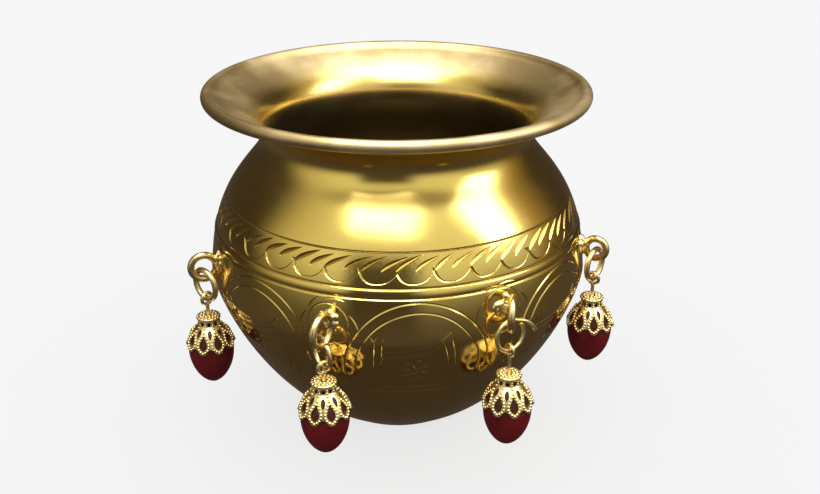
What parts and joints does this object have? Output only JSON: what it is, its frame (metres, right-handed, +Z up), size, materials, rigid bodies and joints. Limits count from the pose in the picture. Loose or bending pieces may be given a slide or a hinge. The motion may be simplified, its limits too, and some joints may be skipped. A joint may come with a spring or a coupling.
{
  "type": "brass pot with hanging bead drops",
  "caption": "Small round-bellied brass pot with a wide flared mouth and an engraved shoulder band; garnet-red bead drops swing from jump rings in wire eyes round its belly.",
  "frame": {"origin": "centre of the flat base that the pot stands on", "axes": "+Z up along the axis that the pot was turned about; -Y is the front"},
  "size_m": [0.1016, 0.1041, 0.0808],
  "materials": {
    "brass": "spun and polished brass, mirror bright low on the belly and satin on the lip, engraved",
    "gilt": "bright gilt wire and stamped filigree caps",
    "garnet_glass": "dark garnet-red bead, semi-matt and all but opaque"
  },
  "bodies": {
    "pot": {"bowl": "brass", "lug_1": "gilt", "lug_2": "gilt", "lug_3": "gilt", "lug_4": "gilt", "lug_5": "gilt", "lug_6": "gilt", "lug_7": "gilt"},
    "ring_1": {"jump_ring_1": "gilt"},
    "drop_1": {"eye_pin_1": "gilt", "bead_cap_1": "gilt", "bead_1": "garnet_glass"},
    "ring_2": {"jump_ring_2": "gilt"},
    "drop_2": {"eye_pin_2": "gilt", "bead_cap_2": "gilt", "bead_2": "garnet_glass"},
    "ring_3": {"jump_ring_3": "gilt"},
    "drop_3": {"eye_pin_3": "gilt", "bead_cap_3": "gilt", "bead_3": "garnet_glass"},
    "ring_4": {"jump_ring_4": "gilt"},
    "drop_4": {"eye_pin_4": "gilt", "bead_cap_4": "gilt", "bead_4": "garnet_glass"},
    "ring_5": {"jump_ring_5": "gilt"},
    "drop_5": {"eye_pin_5": "gilt", "bead_cap_5": "gilt", "bead_5": "garnet_glass"},
    "ring_6": {"jump_ring_6": "gilt"},
    "drop_6": {"eye_pin_6": "gilt", "bead_cap_6": "gilt", "bead_6": "garnet_glass"},
    "ring_7": {"jump_ring_7": "gilt"},
    "drop_7": {"eye_pin_7": "gilt", "bead_cap_7": "gilt", "bead_7": "garnet_glass"}
  },
  "joints": [
    {"name": "ring_swing_1", "type": "hinge", "parent": "pot", "child": "ring_1", "pos_m": [-0.04369, -0.01774, 0.04035], "axis": [-0.9391, -0.3437, 0], "range_deg": [-30, 40]},
    {"name": "drop_swing_1", "type": "hinge", "parent": "ring_1", "child": "drop_1", "pos_m": [-0.04369, -0.01774, 0.0353], "axis": [-0.7547, 0.6561, 0], "range_deg": [-4, 50]},
    {"name": "ring_swing_2", "type": "hinge", "parent": "pot", "child": "ring_2", "pos_m": [-0.01542, -0.04503, 0.03835], "axis": [-0.4679, -0.8838, 0], "range_deg": [-15, 40]},
    {"name": "drop_swing_2", "type": "hinge", "parent": "ring_2", "child": "drop_2", "pos_m": [-0.01542, -0.04503, 0.0334], "axis": [-0.5446, 0.8387, 0], "range_deg": [-4, 50]},
    {"name": "ring_swing_3", "type": "hinge", "parent": "pot", "child": "ring_3", "pos_m": [0.02317, -0.04078, 0.03995], "axis": [-0.1288, -0.9917, 0], "range_deg": [-5, 40]},
    {"name": "drop_swing_3", "type": "hinge", "parent": "ring_3", "child": "drop_3", "pos_m": [0.02317, -0.04078, 0.03465], "axis": [-0.8572, -0.515, 0], "range_deg": [-4, 50]},
    {"name": "ring_swing_4", "type": "hinge", "parent": "pot", "child": "ring_4", "pos_m": [0.04605, -0.01038, 0.0415], "axis": [0.8643, -0.503, 0], "range_deg": [-5, 40]},
    {"name": "drop_swing_4", "type": "hinge", "parent": "ring_4", "child": "drop_4", "pos_m": [0.04605, -0.01038, 0.03625], "axis": [-0.6225, -0.7826, 0], "range_deg": [-4, 50]},
    {"name": "ring_swing_5", "type": "hinge", "parent": "pot", "child": "ring_5", "pos_m": [0.03524, 0.0314, 0.0391], "axis": [0.9291, 0.3697, 0], "range_deg": [-5, 40]},
    {"name": "drop_swing_5", "type": "hinge", "parent": "ring_5", "child": "drop_5", "pos_m": [0.03524, 0.0314, 0.03385], "axis": [0.309, -0.9511, 0], "range_deg": [-4, 50]},
    {"name": "ring_swing_6", "type": "hinge", "parent": "pot", "child": "ring_6", "pos_m": [-0.00388, 0.04714, 0.039], "axis": [0.2639, 0.9646, 0], "range_deg": [-5, 40]},
    {"name": "drop_swing_6", "type": "hinge", "parent": "ring_6", "child": "drop_6", "pos_m": [-0.00388, 0.04714, 0.03375], "axis": [0.9397, -0.342, 0], "range_deg": [-4, 50]},
    {"name": "ring_swing_7", "type": "hinge", "parent": "pot", "child": "ring_7", "pos_m": [-0.03985, 0.02529, 0.0391], "axis": [-0.6101, 0.7923, 0], "range_deg": [-5, 40]},
    {"name": "drop_swing_7", "type": "hinge", "parent": "ring_7", "child": "drop_7", "pos_m": [-0.03985, 0.02529, 0.03385], "axis": [0.7071, 0.7071, 0], "range_deg": [-4, 50]}
  ]
}
